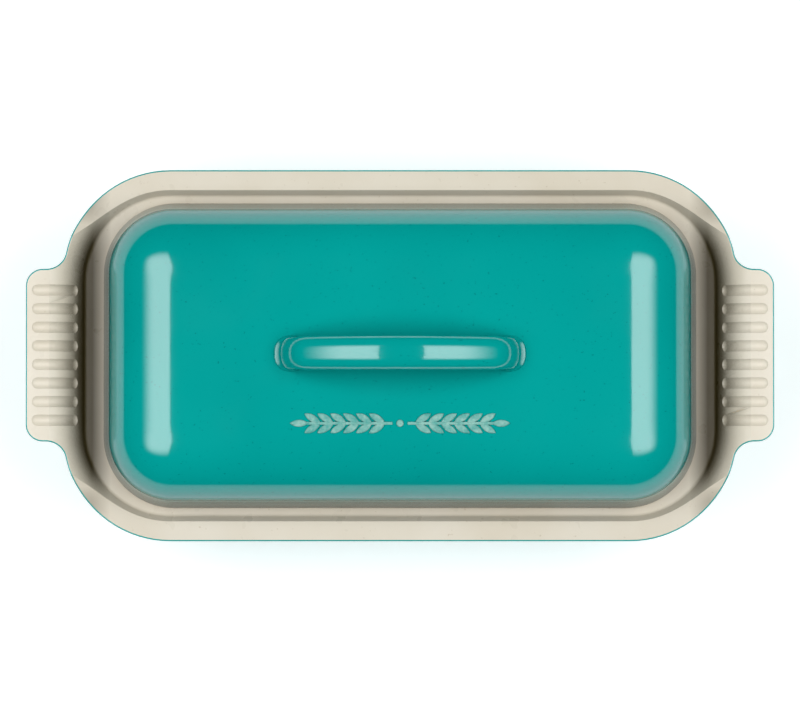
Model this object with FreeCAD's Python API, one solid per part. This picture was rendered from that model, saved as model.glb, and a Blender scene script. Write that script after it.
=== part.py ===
import FreeCAD, Part
import math
import os

# Covered stoneware loaf pan: a pan with a recessed lid seat and two ribbed tab handles, and a domed lid
# with a loop handle. Millimetres; X along the length, Y across the width, +Z up; the origin is the centre
# of the foot. Each clay body carries two fired glaze coats, and each coat is its own solid.

Vector = FreeCAD.Vector
UP = Vector(0, 0, 1)
ACROSS = Vector(0, 1, 0)

# Pan, seen from above: straight sides joined by corner arcs about four fixed centres.
CORE_X = 98.0
CORE_Y = 34.0
RIM_RADIUS = 45.2
RIM_HEIGHT = 76.5
RIM_BAND = 6.0
RIM_EDGE = 0.5

# Pan, below the rim.
WALL_RADIUS = 30.0
WALL_LEVEL = 58.0
FLARE_LEVEL = 61.0
DRAFT = math.radians(9.0)
FLARE_ROUNDING = 12.0
FOOT_ROUNDING = 5.0
FOOT_RING = 9.0
FOOT_RECESS = 1.2

# Loaf cavity.
CAVITY_RADIUS = 26.0
CAVITY_FLOOR = 8.0
CAVITY_ROUNDING = 12.0

# Recess that the lid sits in; its steep side rounds over to the rim and to the crest of each tab.
SEAT_CORE_X = 98.2
SEAT_CORE_Y = 31.8
SEAT_HEIGHT = 72.0
SEAT_TOE_RADIUS = 1.5
SLOPE_FOOT = math.radians(66.0)
SLOPE_CREST = math.radians(20.0)
SLOPE_RADIUS = 24.0
CREST_RADIUS = 50.8
CREST_HEIGHT = 86.0

# Tab handles: over each end the rim sweeps up to a crest, and past it the tab droops to its edge.
TAB_END = 159.0
TAB_HALF_WIDTH = 36.7
TAB_CORNER = 7.2
TAB_NECK = 8.5
TAB_UNDERSIDE_START = 126.0
TAB_UNDERSIDE_LEVEL = 59.5
TAB_UNDERSIDE_BEND = 144.0
TAB_UNDERSIDE_BEND_LEVEL = 70.6
TAB_UNDERSIDE_EDGE_LEVEL = 74.0
TAB_UNDERSIDE_ROUNDING = 25.0
TAB_EDGE = 2.5
SWEEP_TOP = 38.5
SWEEP_FOOT = 69.0
DROOP_RADIUS = 90.0

# Finger grooves in each tab, following its crest.
GROOVES = 8
GROOVE_PITCH = 7.9
GROOVE_WIDTH = 4.8
GROOVE_DEPTH = 1.0
GROOVE_OUTER = math.radians(3.2)
GROOVE_INNER = math.radians(50.0)

# Lid.
LID_CORE_X = 96.0
LID_CORE_Y = 34.5
LID_RADIUS = 31.0
LID_BASE = 72.25
LID_TOP = 117.0
LID_SHOULDER = 25.5
LID_EDGE = 1.2
HOLLOW_RADIUS = 20.4
HOLLOW_WALL_RADIUS = 22.8
HOLLOW_TOP = 111.0
HOLLOW_SHOULDER = 19.0
LIP_RADIUS = 24.7
LIP_DEPTH = 4.0
LIP_ROUNDING = 1.5

# Loop handle on the lid.
LOOP_TOP = 143.0
LOOP_CROWN = 95.0
LOOP_CROWN_ANGLE = math.radians(22.0)
LOOP_BEND = 13.0
LOOP_LEG_ANGLE = math.radians(70.0)
LOOP_THICKNESS = 9.0
LOOP_WIDTH = 14.3
LOOP_LEG_WIDTH = 13.2
LOOP_FOOT_WIDTH = 16.4
LOOP_FOOT_THICKNESS = 15.0

# Raised ears of wheat on the lid's top, in front of the loop.
RELIEF_Y = -29.2
RELIEF_HEIGHT = 0.8
EAR_START = 3.2
EAR_LENGTH = 43.5
STEM_WIDTH = 1.1
GRAIN_LENGTH = 7.6
GRAIN_WIDTH = 2.9
GRAIN_TILT = 30.0
GRAIN_PAIRS = 6
GRAIN_SPACING = 5.4

# Fired glaze, and the clay that it leaves bare.
GLAZE = 0.6
BARE_FOOT = 2.6
BARE_LID_EDGE = 1.0

# Levels past the pan that the cutting solids reach.
OVER = 130.0
PAST = 190.0


def shifted_corners(points, grow):
    """Corners of a closed outline whose coated edges have moved outwards by grow."""
    count = len(points)
    lines = []
    for i in range(count):
        x0, z0, _, coated = points[i]
        x1, z1, _, _ = points[(i + 1) % count]
        length = math.hypot(x1 - x0, z1 - z0)
        nx = (z1 - z0) / length
        nz = (x0 - x1) / length
        reach = grow if coated else 0.0
        lines.append((nx, nz, nx * x0 + nz * z0 + reach))
    corners = []
    for i in range(count):
        ax, az, a = lines[i - 1]
        bx, bz, b = lines[i]
        det = ax * bz - az * bx
        corners.append(((a * bz - az * b) / det, (ax * b - a * bx) / det, det))
    return corners


def outline(points, grow=0.0):
    """Closed wire in the XZ plane: straight edges with tangent arcs at its rounded corners."""
    corners = shifted_corners(points, grow)
    count = len(corners)
    ends = []
    for i in range(count):
        x, z, turn = corners[i]
        here = Vector(x, 0, z)
        before = Vector(corners[i - 1][0], 0, corners[i - 1][1]) - here
        after = Vector(corners[(i + 1) % count][0], 0, corners[(i + 1) % count][1]) - here
        radius = points[i][2]
        if radius > 0:
            moved = points[i][3] and points[i - 1][3]
            radius += math.copysign(grow, turn) if moved else 0.0
            half = before.getAngle(after) / 2
            reach = radius / math.tan(half)
            before.normalize()
            after.normalize()
            inward = (before + after).normalize()
            centre = here + inward * (radius / math.sin(half))
            middle = centre - inward * radius
            ends.append((here + before * reach, middle, here + after * reach))
        else:
            ends.append((here, None, here))
    edges = []
    for i in range(count):
        start, middle, end = ends[i]
        if middle is not None:
            edges.append(Part.Arc(start, middle, end).toShape())
        following = ends[(i + 1) % count][0]
        if (following - end).Length > 1e-6:
            edges.append(Part.LineSegment(end, following).toShape())
    return Part.Wire(edges)


def section(points, grow=0.0):
    """Flat face in the XZ plane inside the closed outline."""
    return Part.Face(outline(points, grow))


def carried_round(face, core_x, core_y, low=None, high=None):
    """Solid that a section makes when it is carried round a rectangle: revolved corners and straight sides."""
    stations = (
        (core_x, core_y, 0, Vector(0, -2 * core_y, 0)),
        (-core_x, core_y, 90, Vector(2 * core_x, 0, 0)),
        (-core_x, -core_y, 180, Vector(0, 2 * core_y, 0)),
        (core_x, -core_y, 270, Vector(-2 * core_x, 0, 0)),
    )
    pieces = []
    for x, y, turn, run in stations:
        side = face.copy()
        side.rotate(Vector(0, 0, 0), UP, turn)
        side.translate(Vector(x, y, 0))
        pieces.append(side.revolve(Vector(x, y, 0), UP, 90))
        pieces.append(side.extrude(run))
    if low is not None:
        corner = Vector(-core_x, -core_y, low)
        pieces.append(Part.makeBox(2 * core_x, 2 * core_y, high - low, corner))
    return one_solid(pieces[0].multiFuse(pieces[1:]).removeSplitter())


def one_solid(shape):
    """The single solid inside a shape."""
    if len(shape.Solids) != 1:
        raise ValueError("expected one solid, found %d" % len(shape.Solids))
    return shape.Solids[0]


def pan_blank(inset):
    """Outside of the pan, foot to rim, left tall above the rim; inset is how far its sides stand back."""
    foot = WALL_RADIUS - WALL_LEVEL * math.tan(DRAFT)
    bend = WALL_RADIUS + (FLARE_LEVEL - WALL_LEVEL) * math.tan(DRAFT)
    inner = foot - FOOT_RING
    points = (
        (0, FOOT_RECESS, 0, 0),
        (inner, FOOT_RECESS, 0, 0),
        (inner + FOOT_RECESS, 0, 0, 0),
        (foot, 0, FOOT_ROUNDING, 1),
        (bend, FLARE_LEVEL, FLARE_ROUNDING, 1),
        (RIM_RADIUS, RIM_HEIGHT - RIM_BAND, TAB_EDGE, 1),
        (RIM_RADIUS, OVER, 0, 0),
        (0, OVER, 0, 0),
    )
    wall = carried_round(section(points, -inset), CORE_X, CORE_Y, FOOT_RECESS, OVER)
    blank = wall.multiFuse([tab_blank(inset, side) for side in (1, -1)])
    return one_solid(blank.removeSplitter())


def tab_blank(inset, side):
    """One tab handle: its plan outline carried up from a sloping underside."""
    half = TAB_HALF_WIDTH - inset
    end = TAB_END - inset
    rim = RIM_RADIUS - inset
    neck = TAB_NECK + inset
    corner = TAB_CORNER - inset
    neck_y = half + neck
    neck_x = CORE_X + math.sqrt((rim + neck) ** 2 - (neck_y - CORE_Y) ** 2)
    share = rim / (rim + neck)
    touch = (CORE_X + (neck_x - CORE_X) * share, CORE_Y + (neck_y - CORE_Y) * share)
    lean = math.atan2(touch[1] - neck_y, touch[0] - neck_x) % (2 * math.pi)
    middle_angle = (lean + 1.5 * math.pi) / 2
    diagonal = math.sqrt(0.5)
    edges = []
    for mirror in (1, -1):
        start = Vector(touch[0], mirror * touch[1], 0)
        neck_middle = Vector(
            neck_x + neck * math.cos(middle_angle),
            mirror * (neck_y + neck * math.sin(middle_angle)),
            0,
        )
        side_start = Vector(neck_x, mirror * half, 0)
        side_end = Vector(end - corner, mirror * half, 0)
        corner_middle = Vector(
            end - corner + corner * diagonal,
            mirror * (half - corner + corner * diagonal),
            0,
        )
        tip = Vector(end, mirror * (half - corner), 0)
        root = Vector(TAB_UNDERSIDE_START, mirror * touch[1], 0)
        edges.append(Part.LineSegment(root, start).toShape())
        edges.append(Part.Arc(start, neck_middle, side_start).toShape())
        edges.append(Part.LineSegment(side_start, side_end).toShape())
        edges.append(Part.Arc(side_end, corner_middle, tip).toShape())
    edges.append(Part.LineSegment(Vector(end, half - corner, 0), Vector(end, corner - half, 0)).toShape())
    left = Vector(TAB_UNDERSIDE_START, -touch[1], 0)
    edges.append(Part.LineSegment(left, Vector(TAB_UNDERSIDE_START, touch[1], 0)).toShape())
    plan = Part.Face(Part.Wire(Part.__sortEdges__(edges)))
    prism = plan.extrude(Vector(0, 0, OVER))
    slopes = (
        (TAB_UNDERSIDE_START - 1, TAB_UNDERSIDE_LEVEL, 0, 1),
        (TAB_UNDERSIDE_BEND, TAB_UNDERSIDE_BEND_LEVEL, TAB_UNDERSIDE_ROUNDING, 1),
        (PAST, TAB_UNDERSIDE_EDGE_LEVEL, 0, 0),
        (PAST, OVER, 0, 0),
        (TAB_UNDERSIDE_START - 1, OVER, 0, 0),
    )
    above = section(slopes, -inset)
    above.translate(Vector(0, -RIM_RADIUS * 2, 0))
    tab = one_solid(prism.common(above.extrude(Vector(0, RIM_RADIUS * 4, 0))))
    lower = [edge for edge in tab.Edges if is_tab_lower_edge(edge)]
    tab = one_solid(tab.makeFillet(TAB_EDGE - inset, lower))
    if side < 0:
        tab.rotate(Vector(0, 0, 0), UP, 180)
    return tab


def is_tab_lower_edge(edge):
    """True for the edges where a tab's underside meets its upright sides."""
    box = edge.BoundBox
    clear = box.XMin > TAB_UNDERSIDE_START + 1
    return clear and box.ZMax < TAB_UNDERSIDE_EDGE_LEVEL + 3


def above_rim(grow):
    """Everything above the rim, which is level along the sides and sweeps up over each end."""
    rise = CREST_HEIGHT - RIM_HEIGHT
    run = SWEEP_FOOT - SWEEP_TOP
    angle = 2 * math.atan(rise / run)
    radius = run / (2 * math.sin(angle))
    reach = radius * math.tan(angle / 2)
    side = RIM_RADIUS * 2
    half = (
        (SWEEP_TOP + reach, CREST_HEIGHT, radius * 0.9, 1),
        (SWEEP_FOOT - reach, RIM_HEIGHT, radius * 0.9, 1),
        (side, RIM_HEIGHT, 0, 0),
        (side, OVER + 1, 0, 0),
    )
    points = [(-side, OVER + 1, 0, 0), (-side, RIM_HEIGHT, 0, 1)]
    points.extend((-y, z, bend, 1) for y, z, bend, _ in reversed(half[:2]))
    points.extend(half)
    face = section(tuple(points), grow)
    face.rotate(Vector(0, 0, 0), UP, 90)
    face.translate(Vector(-PAST, 0, 0))
    return face.extrude(Vector(2 * PAST, 0, 0))


def past_crest(side, grow):
    """Everything above the gently drooping top of one tab, from its crest outwards."""
    crest_x = SEAT_CORE_X + CREST_RADIUS
    arc = Part.makeCylinder(DROOP_RADIUS - grow, RIM_RADIUS * 4, Vector(0, 0, 0), ACROSS)
    arc.translate(Vector(crest_x, -RIM_RADIUS * 2, CREST_HEIGHT - DROOP_RADIUS))
    block = Part.makeBox(PAST - crest_x, RIM_RADIUS * 4, OVER - RIM_HEIGHT)
    block.translate(Vector(crest_x, -RIM_RADIUS * 2, RIM_HEIGHT))
    tool = block.cut(arc)
    if side < 0:
        tool.rotate(Vector(0, 0, 0), UP, 180)
    return tool


def seat_recess(grow):
    """Recess over the lid seat: a level floor, a small toe curve, a steep side and a convex crest."""
    reach = SLOPE_RADIUS * math.tan((SLOPE_FOOT - SLOPE_CREST) / 2)
    bend_r = CREST_RADIUS - reach * math.cos(SLOPE_CREST)
    bend_z = CREST_HEIGHT - reach * math.sin(SLOPE_CREST)
    toe_r = bend_r - (bend_z - SEAT_HEIGHT) / math.tan(SLOPE_FOOT)
    out_r = CREST_RADIUS + 24
    out_z = CREST_HEIGHT + 24 * math.tan(SLOPE_CREST)
    points = (
        (0, SEAT_HEIGHT, 0, 1),
        (toe_r, SEAT_HEIGHT, SEAT_TOE_RADIUS, 1),
        (bend_r, bend_z, SLOPE_RADIUS, 1),
        (out_r, out_z, 0, 0),
        (out_r, OVER, 0, 0),
        (0, OVER, 0, 0),
    )
    return carried_round(section(points, grow), SEAT_CORE_X, SEAT_CORE_Y, SEAT_HEIGHT - grow, OVER)


def loaf_cavity(grow):
    """Space for the loaf: drafted sides and a generously rounded floor."""
    floor = CAVITY_RADIUS - (SEAT_HEIGHT - CAVITY_FLOOR) * math.tan(DRAFT)
    top = CAVITY_RADIUS + 6 * math.tan(DRAFT)
    points = (
        (0, CAVITY_FLOOR, 0, 1),
        (floor, CAVITY_FLOOR, CAVITY_ROUNDING, 1),
        (top, SEAT_HEIGHT + 6, 0, 0),
        (0, SEAT_HEIGHT + 6, 0, 0),
    )
    return carried_round(section(points, grow), CORE_X, CORE_Y, CAVITY_FLOOR - grow, SEAT_HEIGHT + 6)


def ball(radius, centre):
    """Sphere about a point."""
    return Part.makeSphere(radius, centre)


def groove(y, grow):
    """Tool for one finger groove: a round bar bent over the crest of the tab, with ball ends."""
    bar = (GROOVE_WIDTH ** 2 / 4 + GROOVE_DEPTH ** 2) / (2 * GROOVE_DEPTH)
    lift = bar - GROOVE_DEPTH
    crest_x = SEAT_CORE_X + CREST_RADIUS
    slope_x = crest_x + SLOPE_RADIUS * math.sin(SLOPE_CREST)
    slope_z = CREST_HEIGHT - SLOPE_RADIUS * math.cos(SLOPE_CREST)
    droop_z = CREST_HEIGHT - DROOP_RADIUS
    slope_arm = SLOPE_RADIUS + lift
    droop_arm = DROOP_RADIUS + lift
    inner_face = disc(bar + grow, slope_x, slope_z, slope_arm, -SLOPE_CREST, y)
    inner = inner_face.revolve(Vector(slope_x, y, slope_z), ACROSS, math.degrees(SLOPE_CREST - GROOVE_INNER))
    outer_face = disc(bar + grow, crest_x, droop_z, droop_arm, 0, y)
    outer = outer_face.revolve(Vector(crest_x, y, droop_z), ACROSS, math.degrees(GROOVE_OUTER))
    inner_end = polar(slope_x, slope_z, slope_arm, -GROOVE_INNER, y)
    inner_start = polar(slope_x, slope_z, slope_arm, -SLOPE_CREST, y)
    outer_start = polar(crest_x, droop_z, droop_arm, 0, y)
    outer_end = polar(crest_x, droop_z, droop_arm, GROOVE_OUTER, y)
    balls = [ball(bar + grow, point) for point in (inner_end, inner_start, outer_start, outer_end)]
    return inner.multiFuse([outer] + balls)


def polar(x, z, arm, tilt, y):
    """Point at the end of an arm that leans from the vertical by tilt, towards +X when tilt is positive."""
    return Vector(x + arm * math.sin(tilt), y, z + arm * math.cos(tilt))


def disc(radius, x, z, arm, tilt, y):
    """Disc square to the arc that an arm draws."""
    centre = polar(x, z, arm, tilt, y)
    along = Vector(math.cos(tilt), 0, -math.sin(tilt))
    return Part.Face(Part.Wire(Part.Circle(centre, along, radius).toShape()))


def grooves(grow):
    """All finger grooves of both tabs."""
    tools = []
    for i in range(GROOVES):
        y = (i - (GROOVES - 1) / 2) * GROOVE_PITCH
        tool = groove(y, grow)
        tools.append(tool)
        other = tool.copy()
        other.rotate(Vector(0, 0, 0), UP, 180)
        tools.append(other)
    return tools


def pan_shape(inset, grow):
    """Pan cut from a blank; inset moves its outside in and grow moves its inside and top down."""
    raw = pan_blank(inset).cut(above_rim(grow))
    raw = raw.cut([past_crest(1, grow), past_crest(-1, grow)])
    raw = raw.cut(seat_recess(grow)).cut(loaf_cavity(grow))
    return one_solid(raw.cut(grooves(grow)).removeSplitter())


def upper_outline_edges(pan):
    """Edges where the top of the rim meets the upright outer face."""
    chosen = []
    for edge in pan.Edges:
        middle = edge.valueAt((edge.FirstParameter + edge.LastParameter) / 2)
        upright = abs(edge.Vertexes[0].Z - edge.Vertexes[-1].Z) > 0.95 * edge.Length
        if middle.z < RIM_HEIGHT - 1 or upright:
            continue
        if is_on_outline(middle):
            chosen.append(edge)
    return chosen


def is_on_outline(point):
    """True when a point above the rim stands on the pan's plan outline."""
    x = abs(point.x)
    y = abs(point.y)
    if y > RIM_RADIUS + CORE_Y - 0.01 or x > TAB_END - 0.01:
        return True
    from_core = math.hypot(max(x - CORE_X, 0), max(y - CORE_Y, 0))
    if abs(from_core - RIM_RADIUS) < 0.01 and x > CORE_X:
        return y > TAB_HALF_WIDTH
    if x > TAB_END - TAB_CORNER and y < TAB_HALF_WIDTH + 0.01:
        away = math.hypot(x - TAB_END + TAB_CORNER, y - TAB_HALF_WIDTH + TAB_CORNER)
        return abs(away - TAB_CORNER) < 0.01
    neck_y = TAB_HALF_WIDTH + TAB_NECK
    neck_x = CORE_X + math.sqrt((RIM_RADIUS + TAB_NECK) ** 2 - (neck_y - CORE_Y) ** 2)
    return abs(math.hypot(x - neck_x, y - neck_y) - TAB_NECK) < 0.01 or (x > neck_x and y > TAB_HALF_WIDTH - 0.01)


def lid_outside(inset):
    """Domed outside of the lid, from its seat up; inset is how far it stands back under its glaze."""
    lean = math.tan(DRAFT)
    points = (
        (0, LID_BASE, 0, 0),
        (LID_RADIUS, LID_BASE, LID_EDGE, 1),
        (LID_RADIUS - (LID_TOP - LID_BASE) * lean, LID_TOP, LID_SHOULDER, 1),
        (0, LID_TOP, 0, 0),
    )
    return carried_round(section(points, -inset), LID_CORE_X, LID_CORE_Y, LID_BASE, LID_TOP - inset)


def lid_lip():
    """Solid block of the locating lip that hangs into the cavity."""
    points = (
        (0, LID_BASE - LIP_DEPTH, 0, 0),
        (LIP_RADIUS, LID_BASE - LIP_DEPTH, LIP_ROUNDING, 0),
        (LIP_RADIUS, LID_BASE + 3, 0, 0),
        (0, LID_BASE + 3, 0, 0),
    )
    return carried_round(section(points), CORE_X, CORE_Y, LID_BASE - LIP_DEPTH, LID_BASE + 3)


def lid_hollow(grow):
    """Hollow inside the lid: a straight lip, a wider wall and a rounded ceiling."""
    points = (
        (0, LID_BASE - 12, 0, 0),
        (HOLLOW_RADIUS, LID_BASE - 12, 0, 1),
        (HOLLOW_RADIUS, LID_BASE + 3, 3, 1),
        (HOLLOW_WALL_RADIUS, LID_BASE + 8, 3, 1),
        (HOLLOW_WALL_RADIUS - 1.5, HOLLOW_TOP, HOLLOW_SHOULDER, 1),
        (0, HOLLOW_TOP, 0, 0),
    )
    return carried_round(section(points, grow), LID_CORE_X, LID_CORE_Y, LID_BASE - 12, HOLLOW_TOP + grow)


def above_level(level):
    """Half-space block above a level."""
    return Part.makeBox(2 * PAST, 2 * PAST, OVER * 2, Vector(-PAST, -PAST, level))


def loop_stations():
    """Centre, lean, width and thickness of the loop's oval at stations from the crown to one foot."""
    crown_z = LOOP_TOP - LOOP_THICKNESS / 2
    crown_centre = crown_z - LOOP_CROWN
    bend_x = LOOP_CROWN * math.sin(LOOP_CROWN_ANGLE)
    bend_z = crown_centre + LOOP_CROWN * math.cos(LOOP_CROWN_ANGLE)
    centre_x = bend_x - LOOP_BEND * math.sin(LOOP_CROWN_ANGLE)
    centre_z = bend_z - LOOP_BEND * math.cos(LOOP_CROWN_ANGLE)
    stations = []
    for i in range(4):
        lean = LOOP_CROWN_ANGLE * i / 4
        x = LOOP_CROWN * math.sin(lean)
        z = crown_centre + LOOP_CROWN * math.cos(lean)
        width = LOOP_WIDTH - (LOOP_WIDTH - LOOP_LEG_WIDTH) * 0.5 * (i / 4) ** 2
        stations.append((x, z, lean, width, LOOP_THICKNESS))
    for i in range(4):
        lean = LOOP_CROWN_ANGLE + (LOOP_LEG_ANGLE - LOOP_CROWN_ANGLE) * i / 3
        x = centre_x + LOOP_BEND * math.sin(lean)
        z = centre_z + LOOP_BEND * math.cos(lean)
        width = LOOP_WIDTH - (LOOP_WIDTH - LOOP_LEG_WIDTH) * (0.5 + 0.5 * i / 3)
        stations.append((x, z, lean, width, LOOP_THICKNESS))
    x, z, lean = stations[-1][:3]
    fall = z - LID_TOP
    for share, width, thickness in ((0.55, 0.15, 0.1), (1.0, 1.0, 1.0), (1.5, 1.5, 1.4)):
        stations.append((
            x + share * fall / math.tan(lean),
            z - share * fall,
            lean + (math.pi / 2 - lean) * min(share, 1),
            LOOP_LEG_WIDTH + (LOOP_FOOT_WIDTH - LOOP_LEG_WIDTH) * width,
            LOOP_THICKNESS + (LOOP_FOOT_THICKNESS - LOOP_THICKNESS) * thickness,
        ))
    return stations


def oval(x, z, lean, width, thickness):
    """Elliptical section of the loop, square to its run."""
    along = Vector(math.cos(lean), 0, -math.sin(lean))
    outward = Vector(math.sin(lean), 0, math.cos(lean))
    centre = Vector(x, 0, z)
    if width >= thickness:
        curve = Part.Ellipse(centre + ACROSS * (width / 2), centre + outward * (thickness / 2), centre)
    else:
        curve = Part.Ellipse(centre + outward * (thickness / 2), centre + ACROSS * (width / 2), centre)
    return Part.Wire(curve.toShape())


def lid_loop():
    """Loop handle, standing on the glazed top of the lid."""
    half = loop_stations()
    run = [(-x, z, -lean, width, thickness) for x, z, lean, width, thickness in reversed(half[1:])]
    run.extend(half)
    loft = Part.makeLoft([oval(*station) for station in run], True, False)
    return one_solid(loft.common(above_level(LID_TOP)))


def grain(x, y, heading):
    """One grain: a pointed pad with bevelled sides, lying along its heading in degrees."""
    half = GRAIN_LENGTH / 2
    tip = Vector(half, 0, 0)
    tail = Vector(-half, 0, 0)
    upper = Part.Arc(tail, Vector(0, GRAIN_WIDTH / 2, 0), tip).toShape()
    lower = Part.Arc(tip, Vector(0, -GRAIN_WIDTH / 2, 0), tail).toShape()
    pad = Part.Face(Part.Wire([upper, lower])).extrude(Vector(0, 0, RELIEF_HEIGHT))
    rims = [edge for edge in pad.Edges if edge.BoundBox.ZMin > RELIEF_HEIGHT * 0.9]
    pad = pad.makeChamfer(0.3, rims)
    pad.rotate(Vector(0, 0, 0), UP, heading)
    pad.translate(Vector(x, y, LID_TOP))
    return pad


def ear(side):
    """One ear of wheat: a stem with paired grains and one at its tip."""
    stem_end = EAR_LENGTH - GRAIN_LENGTH
    stem = Part.makeBox(stem_end, STEM_WIDTH, RELIEF_HEIGHT * 0.75, Vector(0, -STEM_WIDTH / 2, LID_TOP))
    grains = [grain(EAR_LENGTH - GRAIN_LENGTH / 2 - 0.6, 0, 0)]
    reach = GRAIN_LENGTH / 2 * math.sin(math.radians(GRAIN_TILT)) + 0.25
    for i in range(GRAIN_PAIRS):
        x = stem_end - 2.4 - i * GRAIN_SPACING
        grains.append(grain(x, reach, GRAIN_TILT))
        grains.append(grain(x, -reach, -GRAIN_TILT))
    shape = stem.multiFuse(grains).removeSplitter()
    shape.translate(Vector(EAR_START, 0, 0))
    if side < 0:
        shape.rotate(Vector(0, 0, 0), UP, 180)
    shape.translate(Vector(0, RELIEF_Y, 0))
    return shape


def relief():
    """Two ears of wheat lying stem to stem with their tips outwards, and a bead between the stems."""
    bead = Part.makeCylinder(1.5, RELIEF_HEIGHT, Vector(0, RELIEF_Y, LID_TOP))
    rims = [edge for edge in bead.Edges if edge.BoundBox.ZMin > LID_TOP + RELIEF_HEIGHT * 0.9]
    bead = bead.makeChamfer(0.3, rims)
    solids = ear(1).Solids + [bead] + ear(-1).Solids
    return Part.makeCompound(solids)


def make_pan():
    """Pan clay, its liner glaze over the inside and rim, and its outer glaze."""
    sharp = pan_shape(0, 0)
    finished = one_solid(sharp.makeFillet(RIM_EDGE, upper_outline_edges(sharp)))
    core = pan_blank(GLAZE)
    clay = pan_shape(GLAZE, GLAZE)
    liner = finished.common(core).cut(clay)
    outer = finished.cut(core).common(above_level(BARE_FOOT))
    return {"pan_body": clay, "pan_liner_glaze": liner, "pan_outer_glaze": outer}


def make_lid():
    """Lid clay with its lip, its outer glaze, its liner glaze, the loop handle and the raised ears."""
    core = lid_outside(GLAZE).fuse(lid_lip())
    grown = lid_hollow(GLAZE)
    hollow = lid_hollow(0)
    clay = core.cut(grown)
    liner = core.common(grown).cut(hollow).common(above_level(LID_BASE - LIP_DEPTH + LIP_ROUNDING))
    outer = lid_outside(0).cut(lid_outside(GLAZE)).common(above_level(LID_BASE + BARE_LID_EDGE))
    return {"lid_body": clay, "lid_liner_glaze": liner, "lid_outer_glaze": outer}


def write(name, shape):
    """Write one node after checking that it is sound."""
    solids = shape.Solids
    if not solids or not shape.isValid():
        raise ValueError("%s is not a valid solid" % name)
    result = solids[0] if len(solids) == 1 else Part.makeCompound(solids)
    result.exportStep(os.path.join("parts", name + ".step"))
    box = result.optimalBoundingBox()
    print("%-18s solids %3d  faces %4d  volume %9.1f" % (name, len(solids), len(result.Faces), result.Volume))
    print("    x %.2f..%.2f  y %.2f..%.2f  z %.2f..%.2f" % (
        box.XMin, box.XMax, box.YMin, box.YMax, box.ZMin, box.ZMax))


os.makedirs("parts", exist_ok=True)
nodes = make_pan()
nodes.update(make_lid())
nodes["lid_handle"] = lid_loop()
nodes["lid_relief"] = relief()
for node, solid in nodes.items():
    write(node, solid)
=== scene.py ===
import math
import bpy
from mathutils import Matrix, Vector


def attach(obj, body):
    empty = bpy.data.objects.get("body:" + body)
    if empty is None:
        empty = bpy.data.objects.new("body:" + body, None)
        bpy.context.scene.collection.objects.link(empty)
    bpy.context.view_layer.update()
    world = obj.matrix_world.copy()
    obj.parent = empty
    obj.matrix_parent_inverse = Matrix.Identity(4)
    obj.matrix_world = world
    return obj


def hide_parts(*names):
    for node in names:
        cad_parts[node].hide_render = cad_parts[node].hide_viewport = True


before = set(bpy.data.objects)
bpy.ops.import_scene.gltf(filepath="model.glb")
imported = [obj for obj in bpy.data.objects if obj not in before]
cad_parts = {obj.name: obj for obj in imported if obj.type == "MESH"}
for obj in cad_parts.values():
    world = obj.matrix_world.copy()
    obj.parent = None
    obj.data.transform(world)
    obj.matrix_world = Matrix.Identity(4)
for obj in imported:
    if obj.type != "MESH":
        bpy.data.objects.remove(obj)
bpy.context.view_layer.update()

MM = 0.001


def srgb(red, green, blue):
    """Linear colour from 0-255 display values."""
    def channel(value):
        value /= 255
        return value / 12.92 if value <= 0.04045 else ((value + 0.055) / 1.055) ** 2.4
    return (channel(red), channel(green), channel(blue), 1.0)


def smooth(low, high, value):
    """Smooth step from 0 at low to 1 at high."""
    share = min(max((value - low) / (high - low), 0.0), 1.0)
    return share * share * (3 - 2 * share)


# ---------------------------------------------------------------- materials

GLAZE_DEEP = (0.0004, 0.340, 0.315, 1)
GLAZE_LIGHT = (0.0008, 0.385, 0.355, 1)
GLAZE_SPECK = (0.0, 0.13, 0.13, 1)
CREAM_DEEP = srgb(221, 212, 193)
CREAM_LIGHT = srgb(228, 221, 205)
CREAM_SPECK = (0.42, 0.33, 0.20, 1)
FLOOR_GLOW = 0.42

# Dark tones painted into the glazes as painted shade: they deepen the shade of the valleys round the lid, of
# crevices, and down the lid's lower wall.
GLAZE_DARK = (0.05, 0.07, 0.08, 1)
CREAM_DARK = (0.07, 0.055, 0.015, 1)
CREVICE_REACH = 0.045
WALL_SHADE_STRENGTH = 0.84
LID_WALL_SHADE_FOOT, LID_WALL_SHADE_TOP = 0.088, 0.109
SEAT_FROM, SEAT_FULL = 0.0700, 0.0715
SLOPE_DARK, SLOPE_CLEAR = 0.0730, 0.0800
SEAT_STRENGTH = 0.97
END_FROM, END_FULL = 0.1235, 0.1315
SIDE_SHARE = 0.08


class Tree:
    """A node tree, with short calls to add and link nodes."""

    def __init__(self, tree):
        self.tree = tree

    def add(self, kind, **settings):
        node = self.tree.nodes.new(kind)
        for key, value in settings.items():
            setattr(node, key, value)
        return node

    def link(self, source, target):
        self.tree.links.new(source, target)

    def grey(self, source, low, high, bottom, top, kind="LINEAR"):
        """From bottom where the source is low to top where it is high."""
        node = self.add("ShaderNodeMapRange", interpolation_type=kind)
        for name, value in (("From Min", low), ("From Max", high), ("To Min", bottom), ("To Max", top)):
            node.inputs[name].default_value = value
        self.link(source, node.inputs["Value"])
        return node.outputs["Result"]

    def combine(self, operation, first, second):
        node = self.add("ShaderNodeMath", operation=operation)
        self.link(first, node.inputs[0])
        self.link(second, node.inputs[1])
        return node.outputs["Value"]

    def size(self, source):
        """The source without its sign."""
        node = self.add("ShaderNodeMath", operation="ABSOLUTE")
        self.link(source, node.inputs[0])
        return node.outputs["Value"]


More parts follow.
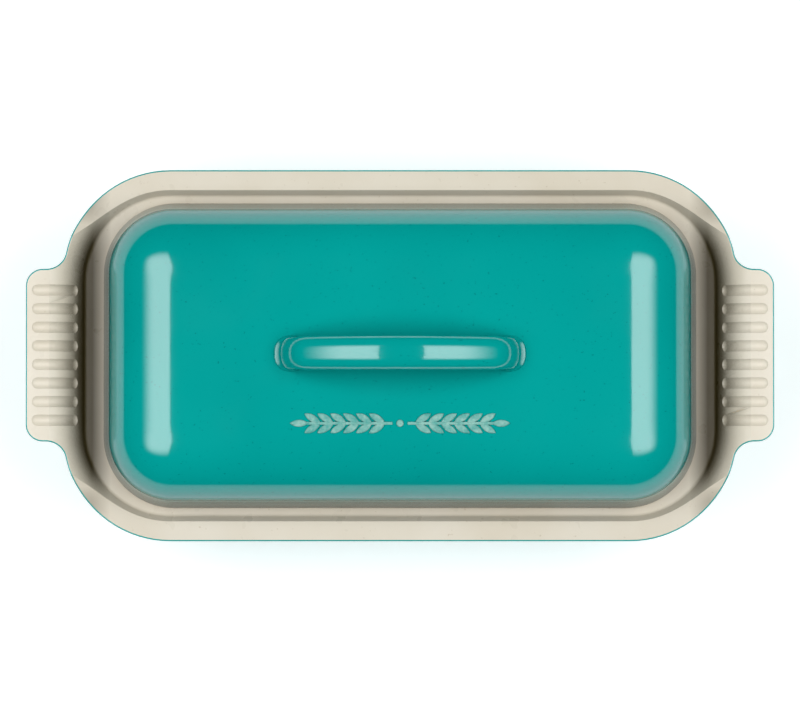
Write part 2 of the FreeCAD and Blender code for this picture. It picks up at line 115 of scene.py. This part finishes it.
class Nodes(Tree):
    """A new material's node tree, with its shader and the patterns that feed it."""

    def __init__(self, name):
        self.material = bpy.data.materials.new(name)
        self.material.use_nodes = True
        super().__init__(self.material.node_tree)
        self.shader = self.tree.nodes["Principled BSDF"]
        self.place = self.add("ShaderNodeTexCoord").outputs["Object"]

    def set(self, **values):
        for name, value in values.items():
            self.shader.inputs[name.replace("_", " ")].default_value = value

    def feed(self, name, source):
        """Link a source to one of the shader's sockets."""
        self.link(source, self.shader.inputs[name])

    def noise(self, scale, detail=2.0, rough=0.5, move=(0, 0, 0)):
        mapping = self.add("ShaderNodeMapping")
        mapping.inputs["Location"].default_value = move
        self.link(self.place, mapping.inputs["Vector"])
        node = self.add("ShaderNodeTexNoise")
        node.inputs["Scale"].default_value = scale
        node.inputs["Detail"].default_value = detail
        node.inputs["Roughness"].default_value = rough
        self.link(mapping.outputs["Vector"], node.inputs["Vector"])
        return node.outputs["Fac"]

    def ramp(self, source, *stops):
        node = self.add("ShaderNodeValToRGB")
        for element, (where, colour) in zip(node.color_ramp.elements, stops):
            element.position = where
            element.color = colour
        self.link(source, node.inputs["Fac"])
        return node.outputs["Color"]

    def blend(self, factor, first, second, kind="MIX"):
        """Mix of a linked colour with a plain one."""
        node = self.add("ShaderNodeMix", data_type="RGBA", blend_type=kind)
        self.link(factor, node.inputs["Factor"])
        self.link(first, node.inputs[6])
        node.inputs[7].default_value = second
        return node.outputs[2]

    def along(self, axis):
        """Place of the point along one axis, in metres, on the part at rest."""
        split = self.add("ShaderNodeSeparateXYZ")
        self.link(self.place, split.inputs["Vector"])
        return split.outputs[axis]

    def crevice(self, low, high):
        """From 0 in the open to 1 deep in a crevice: a valley, a groove, a foot; the mask for painted shade."""
        sky = self.add("ShaderNodeAmbientOcclusion", samples=8)
        sky.inputs["Distance"].default_value = CREVICE_REACH
        return self.grey(sky.outputs["AO"], low, high, 1.0, 0.0)

    def relief(self, *layers):
        """Chain of bumps, each (source, distance in metres, strength), onto the surface and its gloss."""
        normal = None
        for source, distance, strength in layers:
            bump = self.add("ShaderNodeBump")
            bump.inputs["Distance"].default_value = distance
            bump.inputs["Strength"].default_value = strength
            self.link(source, bump.inputs["Height"])
            if normal is not None:
                self.link(normal, bump.inputs["Normal"])
            normal = bump.outputs["Normal"]
        self.feed("Normal", normal)
        self.feed("Coat Normal", normal)


def turquoise_glaze(name, shade_foot=None, shade_top=None):
    """Deep glossy glaze, a little uneven, with fine specks and painted shade in crevices; given a foot and a top,
    painted shade also darkens it, and it gets less glossy, down towards the foot.
    """
    n = Nodes(name)
    n.set(IOR=1.5, Coat_Roughness=0.05, Coat_IOR=1.5)
    base = n.ramp(n.noise(9.0, 3.0, 0.55), (0.30, GLAZE_DEEP), (0.70, GLAZE_LIGHT))
    spots = n.grey(n.noise(900.0, 1.0, 0.5), 0.70, 0.78, 0.0, 0.55)
    glazed = n.blend(spots, base, GLAZE_SPECK)
    # Painted shade in crevices, such as round the loop's feet.
    dark = n.crevice(0.22, 0.62)
    if shade_foot is None:
        n.set(Coat_Weight=0.5)
    else:
        # Painted shade: darker and less glossy from the top level down to the foot level of the lid's wall.
        run = n.grey(n.along("Z"), shade_foot, shade_top, WALL_SHADE_STRENGTH, 0.0)
        dark = n.combine("MAXIMUM", dark, run)
        n.feed("Specular IOR Level", n.grey(run, 0.0, WALL_SHADE_STRENGTH, 0.5, 0.12))
        n.feed("Coat Weight", n.grey(run, 0.0, 0.7, 0.5, 0.0))
    n.feed("Base Color", n.blend(dark, glazed, GLAZE_DARK, "MULTIPLY"))
    n.feed("Roughness", n.grey(n.noise(40.0, 3.0, 0.6), 0.3, 0.7, 0.07, 0.12))
    n.relief((n.noise(14.0, 1.0, 0.4), 0.0008, 0.10), (n.noise(160.0, 2.0, 0.5), 0.00004, 0.15))
    return n.material


def cream_glaze():
    """Warm white glaze with faint iron specks, with painted shade in crevices and along the seat's ends."""
    n = Nodes("cream_glaze")
    n.set(IOR=1.45)
    base = n.ramp(n.noise(22.0, 4.0, 0.6), (0.30, CREAM_DEEP), (0.70, CREAM_LIGHT))
    spots = n.grey(n.noise(620.0, 1.5, 0.5, (3, 1, 2)), 0.71, 0.80, 0.0, 0.40)
    glazed = n.blend(spots, base, CREAM_SPECK)
    # Painted shade in the seat's valley between the cavity and the crest, strongest at the pan's ends, added to
    # the crevice shade.
    below_crest = n.grey(n.along("Z"), SLOPE_DARK, SLOPE_CLEAR, SEAT_STRENGTH, 0.0)
    above_cavity = n.grey(n.along("Z"), SEAT_FROM, SEAT_FULL, 0.0, 1.0)
    seat = n.combine("MULTIPLY", below_crest, above_cavity)
    hollow = n.combine("MAXIMUM", n.crevice(0.25, 0.70), seat)
    at_ends = n.grey(n.size(n.along("X")), END_FROM, END_FULL, SIDE_SHARE, 1.0)
    dark = n.combine("MULTIPLY", hollow, at_ends)
    n.feed("Base Color", n.blend(dark, glazed, CREAM_DARK, "MULTIPLY"))
    n.feed("Roughness", n.grey(n.noise(55.0, 3.0, 0.6), 0.3, 0.7, 0.26, 0.34))
    n.relief((n.noise(18.0, 1.0, 0.4), 0.0008, 0.08), (n.noise(190.0, 2.0, 0.5), 0.00004, 0.2))
    return n.material


def pale_glaze():
    """The same turquoise where it breaks thin and milky over the raised wheat."""
    n = Nodes("pale_glaze")
    n.set(IOR=1.5, Coat_Weight=0.3, Coat_Roughness=0.05)
    thin = n.noise(420.0, 3.0, 0.6)
    n.feed("Base Color", n.ramp(thin, (0.33, srgb(92, 172, 164)), (0.66, srgb(150, 200, 190))))
    n.feed("Roughness", n.grey(n.noise(90.0, 3.0, 0.6), 0.3, 0.7, 0.16, 0.26))
    n.relief((n.noise(500.0, 2.0, 0.5), 0.0001, 0.3))
    return n.material


def bare_clay():
    """Unglazed buff stoneware: matt, sandy and freckled."""
    n = Nodes("bare_clay")
    n.set(IOR=1.45)
    base = n.ramp(n.noise(35.0, 5.0, 0.65), (0.28, srgb(196, 176, 146)), (0.72, srgb(221, 205, 178)))
    spots = n.grey(n.noise(780.0, 2.0, 0.6), 0.62, 0.72, 0.0, 0.7)
    n.feed("Base Color", n.blend(spots, base, srgb(128, 98, 68)))
    n.feed("Roughness", n.grey(n.noise(300.0, 3.0, 0.6), 0.3, 0.7, 0.72, 0.92))
    n.relief((n.noise(1400.0, 3.0, 0.7), 0.00025, 0.6), (n.noise(60.0, 2.0, 0.5), 0.0006, 0.15))
    return n.material


def floor_paper():
    """Seamless white backdrop paper with a faint tooth, glowing slightly."""
    n = Nodes("floor_paper")
    fibre = n.noise(260.0, 3.0, 0.6)
    n.feed("Base Color", n.ramp(fibre, (0.3, (0.90, 0.905, 0.91, 1)), (0.7, (0.94, 0.94, 0.94, 1))))
    n.set(Roughness=0.95, Emission_Color=(0.97, 0.99, 1.0, 1), Emission_Strength=FLOOR_GLOW)
    n.relief((fibre, 0.0001, 0.1))
    return n.material


def wear(obj, material):
    obj.data.materials.clear()
    obj.data.materials.append(material)


turquoise = turquoise_glaze("turquoise_glaze")
lid_turquoise = turquoise_glaze("turquoise_glaze_lid", LID_WALL_SHADE_FOOT, LID_WALL_SHADE_TOP)
cream = cream_glaze()
clay = bare_clay()
for node, material in (
    ("pan_body", clay), ("lid_body", clay),
    ("pan_liner_glaze", cream), ("lid_liner_glaze", cream),
    ("pan_outer_glaze", turquoise), ("lid_relief", pale_glaze()),
):
    wear(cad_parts[node], material)


def mesh_piece(name, verts, faces, material, body, node):
    """Smooth-shaded mesh that stands for one CAD node and moves with its body."""
    mesh = bpy.data.meshes.new(name)
    mesh.from_pydata([Vector(v) * MM for v in verts], [], faces)
    mesh.validate()
    mesh.update()
    for face in mesh.polygons:
        face.use_smooth = True
    obj = bpy.data.objects.new(name, mesh)
    bpy.context.collection.objects.link(obj)
    wear(obj, material)
    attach(obj, body)
    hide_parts(node)


# ---------------------------------------------------------------- lid glaze

LID_CORE = (96.0, 34.5)
LID_TOP = 117.0
LID_COAT_FOOT = 73.6
LID_RADIUS = 31.0
LID_DRAFT = math.radians(9.0)
LID_WALL = 44.75
SHOULDER = 25.5
EASE_FROM, EASE_TO = -6.0, 12.0
TOP_CORNER = 7.0
COAT = 0.45
WALL_TUCK = 0.985
SHOULDER_START = LID_RADIUS - LID_WALL * math.tan(LID_DRAFT) - SHOULDER * math.tan((math.pi / 2 - LID_DRAFT) / 2)
EASE_LEAN = math.asin((EASE_TO - SHOULDER_START) / SHOULDER)
EASE_SLOPE = math.tan(EASE_LEAN)
EASE_FALL = EASE_SLOPE * (EASE_TO - EASE_FROM) / 3
ARC_FALL = SHOULDER - math.sqrt(SHOULDER ** 2 - (EASE_TO - SHOULDER_START) ** 2)
EASE_STEPS, SHOULDER_STEPS, WALL_STEPS = 26, 30, 12
CORNER_STEPS, LONG_STEPS, SHORT_STEPS = 20, 48, 18


def lid_reach(x, y):
    """How far a point is outside the lid's core rectangle, with the corners eased inside it."""
    qx, qy = abs(x) - LID_CORE[0], abs(y) - LID_CORE[1]
    ease = -EASE_FROM
    eased = math.hypot(max(qx + ease, 0), max(qy + ease, 0)) - ease
    true = math.hypot(max(qx, 0), max(qy, 0)) + min(max(qx, qy), 0)
    return eased + (true - eased) * smooth(-2, EASE_TO, true)


def lid_level(x, y):
    """Height of the lid's glaze where the flat top eases into the shoulder."""
    share = max(lid_reach(x, y) - EASE_FROM, 0) / (EASE_TO - EASE_FROM)
    return LID_TOP - EASE_FALL * share ** 3


def lid_stations():
    """Reach, height and lean of the rings down the lid; on the eased top the height follows lid_level."""
    stations = []
    for i in range(EASE_STEPS):
        reach = EASE_FROM + (EASE_TO - EASE_FROM) * i / EASE_STEPS
        stations.append((reach, None, math.atan(EASE_SLOPE * (i / EASE_STEPS) ** 2)))
    wall_lean = math.pi / 2 - LID_DRAFT
    for i in range(SHOULDER_STEPS + 1):
        lean = EASE_LEAN + (wall_lean - EASE_LEAN) * i / SHOULDER_STEPS
        fall = SHOULDER * (1 - math.cos(lean)) + EASE_FALL - ARC_FALL
        stations.append((SHOULDER_START + SHOULDER * math.sin(lean), LID_TOP - fall, lean))
    reach, level, lean = stations[-1]
    for i in range(1, WALL_STEPS + 1):
        z = level + (LID_COAT_FOOT - level) * i / WALL_STEPS
        out = (level - EASE_FALL + ARC_FALL - z) * math.tan(LID_DRAFT) * WALL_TUCK
        stations.append((reach + out, z, lean))
    return stations


def lid_ring(reach, level, lean, inset):
    """One loop of points round the lid, pushed in by an inset square to its surface."""
    corner = reach if reach >= EASE_TO else TOP_CORNER + (EASE_TO - TOP_CORNER) * smooth(EASE_FROM, EASE_TO, reach)
    half = (LID_CORE[0] + reach - corner, LID_CORE[1] + reach - corner)
    arm = corner - inset * math.sin(lean)
    plan = []
    for turn, sx, sy in ((0, 1, 1), (90, -1, 1), (180, -1, -1), (270, 1, -1)):
        for i in range(CORNER_STEPS + 1):
            angle = math.radians(turn + 90 * i / CORNER_STEPS)
            plan.append((sx * half[0] + arm * math.cos(angle), sy * half[1] + arm * math.sin(angle)))
        x, y = plan[-1]
        lengthways = turn in (0, 180)
        steps = LONG_STEPS if lengthways else SHORT_STEPS
        for i in range(1, steps):
            share = 1 - 2 * i / steps
            plan.append((x * share, y) if lengthways else (x, y * share))
    drop = inset * math.cos(lean)
    return [(x, y, (lid_level(x, y) if level is None else level) - drop) for x, y in plan]


def lid_glaze():
    """Closed thin coat over the lid: an outer skin, an inner skin and the rolled foot between them."""
    rings = [lid_ring(*station, 0.0) for station in lid_stations()]
    rings.extend(lid_ring(*station, COAT) for station in reversed(lid_stations()))
    count = len(rings[0])
    verts = [point for ring in rings for point in ring]
    faces = [tuple(range(count)), tuple(reversed(range(len(verts) - count, len(verts))))]
    for r in range(len(rings) - 1):
        for i in range(count):
            j = (i + 1) % count
            faces.append((r * count + j, r * count + i, (r + 1) * count + i, (r + 1) * count + j))
    mesh_piece("lid_glaze", verts, faces, lid_turquoise, "lid", "lid_outer_glaze")


lid_glaze()


# ---------------------------------------------------------------- loop handle

LOOP_TOP = 143.0
LOOP_END = 52.9
LOOP_HALF_WIDTH = 7.1
LOOP_HALF_DEPTH = 4.5
LEG_HALF_WIDTH = LOOP_HALF_WIDTH - 0.35
CROWN_RADIUS, BEND_RADIUS = 80.0, 10.5
CROWN_LEAN, LEG_LEAN, UPRIGHT = math.radians(27), math.radians(62), 1.57
LEG_UPRIGHT_SHARE = 0.85
SKIRT_HEIGHT, SKIRT_SPREAD, SKIRT_CURVE = 1.0, 2.7, 1.3
CROWN_STEPS, BEND_STEPS, LEG_STEPS, SKIRT_STEPS = 18, 14, 20, 8
AROUND_STEPS = 40
OVAL_POWER = 0.9


def loop_path():
    """Middle line of half the loop, crown to foot: place, lean, half width and half depth."""
    stations = []
    centre = LOOP_TOP - LOOP_HALF_DEPTH - CROWN_RADIUS
    for i in range(CROWN_STEPS):
        lean = CROWN_LEAN * i / CROWN_STEPS
        x, z = CROWN_RADIUS * math.sin(lean), centre + CROWN_RADIUS * math.cos(lean)
        stations.append((x, z, lean, LOOP_HALF_WIDTH, LOOP_HALF_DEPTH))
    turn_x = (CROWN_RADIUS - BEND_RADIUS) * math.sin(CROWN_LEAN)
    turn_z = centre + (CROWN_RADIUS - BEND_RADIUS) * math.cos(CROWN_LEAN)
    for i in range(BEND_STEPS + 1):
        lean = CROWN_LEAN + (LEG_LEAN - CROWN_LEAN) * i / BEND_STEPS
        wide = LOOP_HALF_WIDTH - (LOOP_HALF_WIDTH - LEG_HALF_WIDTH) * i / BEND_STEPS
        x, z = turn_x + BEND_RADIUS * math.sin(lean), turn_z + BEND_RADIUS * math.cos(lean)
        stations.append((x, z, lean, wide, LOOP_HALF_DEPTH))
    fall = z - LID_TOP
    skirt = SKIRT_HEIGHT / fall
    shares = [(1 - skirt) * i / LEG_STEPS for i in range(1, LEG_STEPS + 1)]
    shares += [1 - skirt + skirt * i / SKIRT_STEPS for i in range(1, SKIRT_STEPS + 1)]
    for share in shares:
        lean = LEG_LEAN + (math.pi / 2 - LEG_LEAN) * smooth(0, LEG_UPRIGHT_SHARE, share)
        spread = SKIRT_SPREAD * max(SKIRT_HEIGHT - fall * (1 - share), 0) ** SKIRT_CURVE
        level = z - fall * share
        if lean < UPRIGHT:
            x += (stations[-1][1] - level) / math.tan((lean + stations[-1][2]) / 2)
        stations.append((x, level, lean, LEG_HALF_WIDTH + spread * 0.3, LOOP_HALF_DEPTH + spread))
    reach = stations[-1][0]
    shift = LOOP_END - (reach + stations[-1][4])
    return [(px + shift * min(px / reach, 1) ** 2, pz, lean, wide, deep) for px, pz, lean, wide, deep in stations]


def rounded(value):
    """Cosine or sine pulled slightly towards a squarer oval."""
    return math.copysign(abs(value) ** OVAL_POWER, value)


def loop_handle():
    """Oval bar carried along the loop, with a small fillet of glaze where each foot meets the lid."""
    half = loop_path()
    run = [(-x, z, -lean, wide, deep) for x, z, lean, wide, deep in reversed(half[1:])] + half
    verts, faces = [], []
    for x, z, lean, wide, deep in run:
        for i in range(AROUND_STEPS):
            angle = 2 * math.pi * i / AROUND_STEPS
            side, out = rounded(math.cos(angle)) * wide, rounded(math.sin(angle)) * deep
            verts.append((x + out * math.sin(lean), side, max(z + out * math.cos(lean), LID_TOP)))
    count = AROUND_STEPS
    for r in range(len(run) - 1):
        for i in range(count):
            j = (i + 1) % count
            faces.append((r * count + i, (r + 1) * count + i, (r + 1) * count + j, r * count + j))
    faces.append(tuple(range(count)))
    faces.append(tuple(reversed(range(len(verts) - count, len(verts)))))
    mesh_piece("loop_handle", verts, faces, turquoise, "lid", "lid_handle")


loop_handle()


# ---------------------------------------------------------------- studio

SOFTBOX_SIZE = (1.20, 1.75)
SOFTBOX_POWER = 26
SOFTBOX_LEAN = math.radians(12)
SOFTBOX_FADE = 0.60
FLOOR_HALF = 3
FLOOR_LEVEL = -0.0001
VIEW_DISTANCE = 2.2
VIEW_TILT = math.radians(1.2)
FRAME_WIDTH = 0.341
RIM_LEVEL = 0.078
SENSOR = 36


def softbox(name, side, location):
    """Fabric-fronted softbox on one side (-1 left, 1 right) that fades towards its outer edge and both ends."""
    light = bpy.data.lights.new(name, "AREA")
    light.shape = "RECTANGLE"
    light.size, light.size_y = SOFTBOX_SIZE
    light.energy = SOFTBOX_POWER
    light.use_nodes = True
    t = Tree(light.node_tree)
    split = t.add("ShaderNodeSeparateXYZ")
    t.link(t.add("ShaderNodeNewGeometry").outputs["Parametric"], split.inputs["Vector"])
    low, high = (1.0, 1.0 - SOFTBOX_FADE) if side > 0 else (0.0, SOFTBOX_FADE)
    outwards = t.grey(split.outputs["X"], low, high, 0.05, 1.25, "SMOOTHSTEP")
    off_centre = t.add("ShaderNodeMath", operation="SUBTRACT")
    off_centre.inputs[1].default_value = 0.5
    t.link(split.outputs["Y"], off_centre.inputs[0])
    endwards = t.grey(t.size(off_centre.outputs["Value"]), 0.5, 0.25, 0.0, 1.0, "SMOOTHSTEP")
    t.link(t.combine("MULTIPLY", outwards, endwards), t.tree.nodes["Emission"].inputs["Strength"])
    obj = bpy.data.objects.new(name, light)
    obj.location = location
    obj.rotation_euler = (0, side * SOFTBOX_LEAN, 0)
    bpy.context.collection.objects.link(obj)


softbox("softbox_left", -1, (-0.90, 0.03, 1.45))
softbox("softbox_right", 1, (0.94, 0.03, 1.45))

world = bpy.data.worlds.new("studio")
world.use_nodes = True
world.node_tree.nodes["Background"].inputs["Strength"].default_value = 0.0
bpy.context.scene.world = world

floor_corners = [(x * FLOOR_HALF, y * FLOOR_HALF, FLOOR_LEVEL) for x, y in ((-1, -1), (1, -1), (1, 1), (-1, 1))]
floor_mesh = bpy.data.meshes.new("floor")
floor_mesh.from_pydata(floor_corners, [], [(0, 1, 2, 3)])
floor = bpy.data.objects.new("floor", floor_mesh)
bpy.context.collection.objects.link(floor)
wear(floor, floor_paper())

bpy.context.scene.view_settings.view_transform = "Standard"

camera = bpy.data.cameras.new("camera")
camera.sensor_width = SENSOR
camera.lens = SENSOR * VIEW_DISTANCE / FRAME_WIDTH
view = bpy.data.objects.new("camera", camera)
view.location = (0, -VIEW_DISTANCE * math.sin(VIEW_TILT), RIM_LEVEL + VIEW_DISTANCE * math.cos(VIEW_TILT))
view.rotation_euler = (VIEW_TILT, 0, 0)
bpy.context.collection.objects.link(view)
bpy.context.scene.camera = view
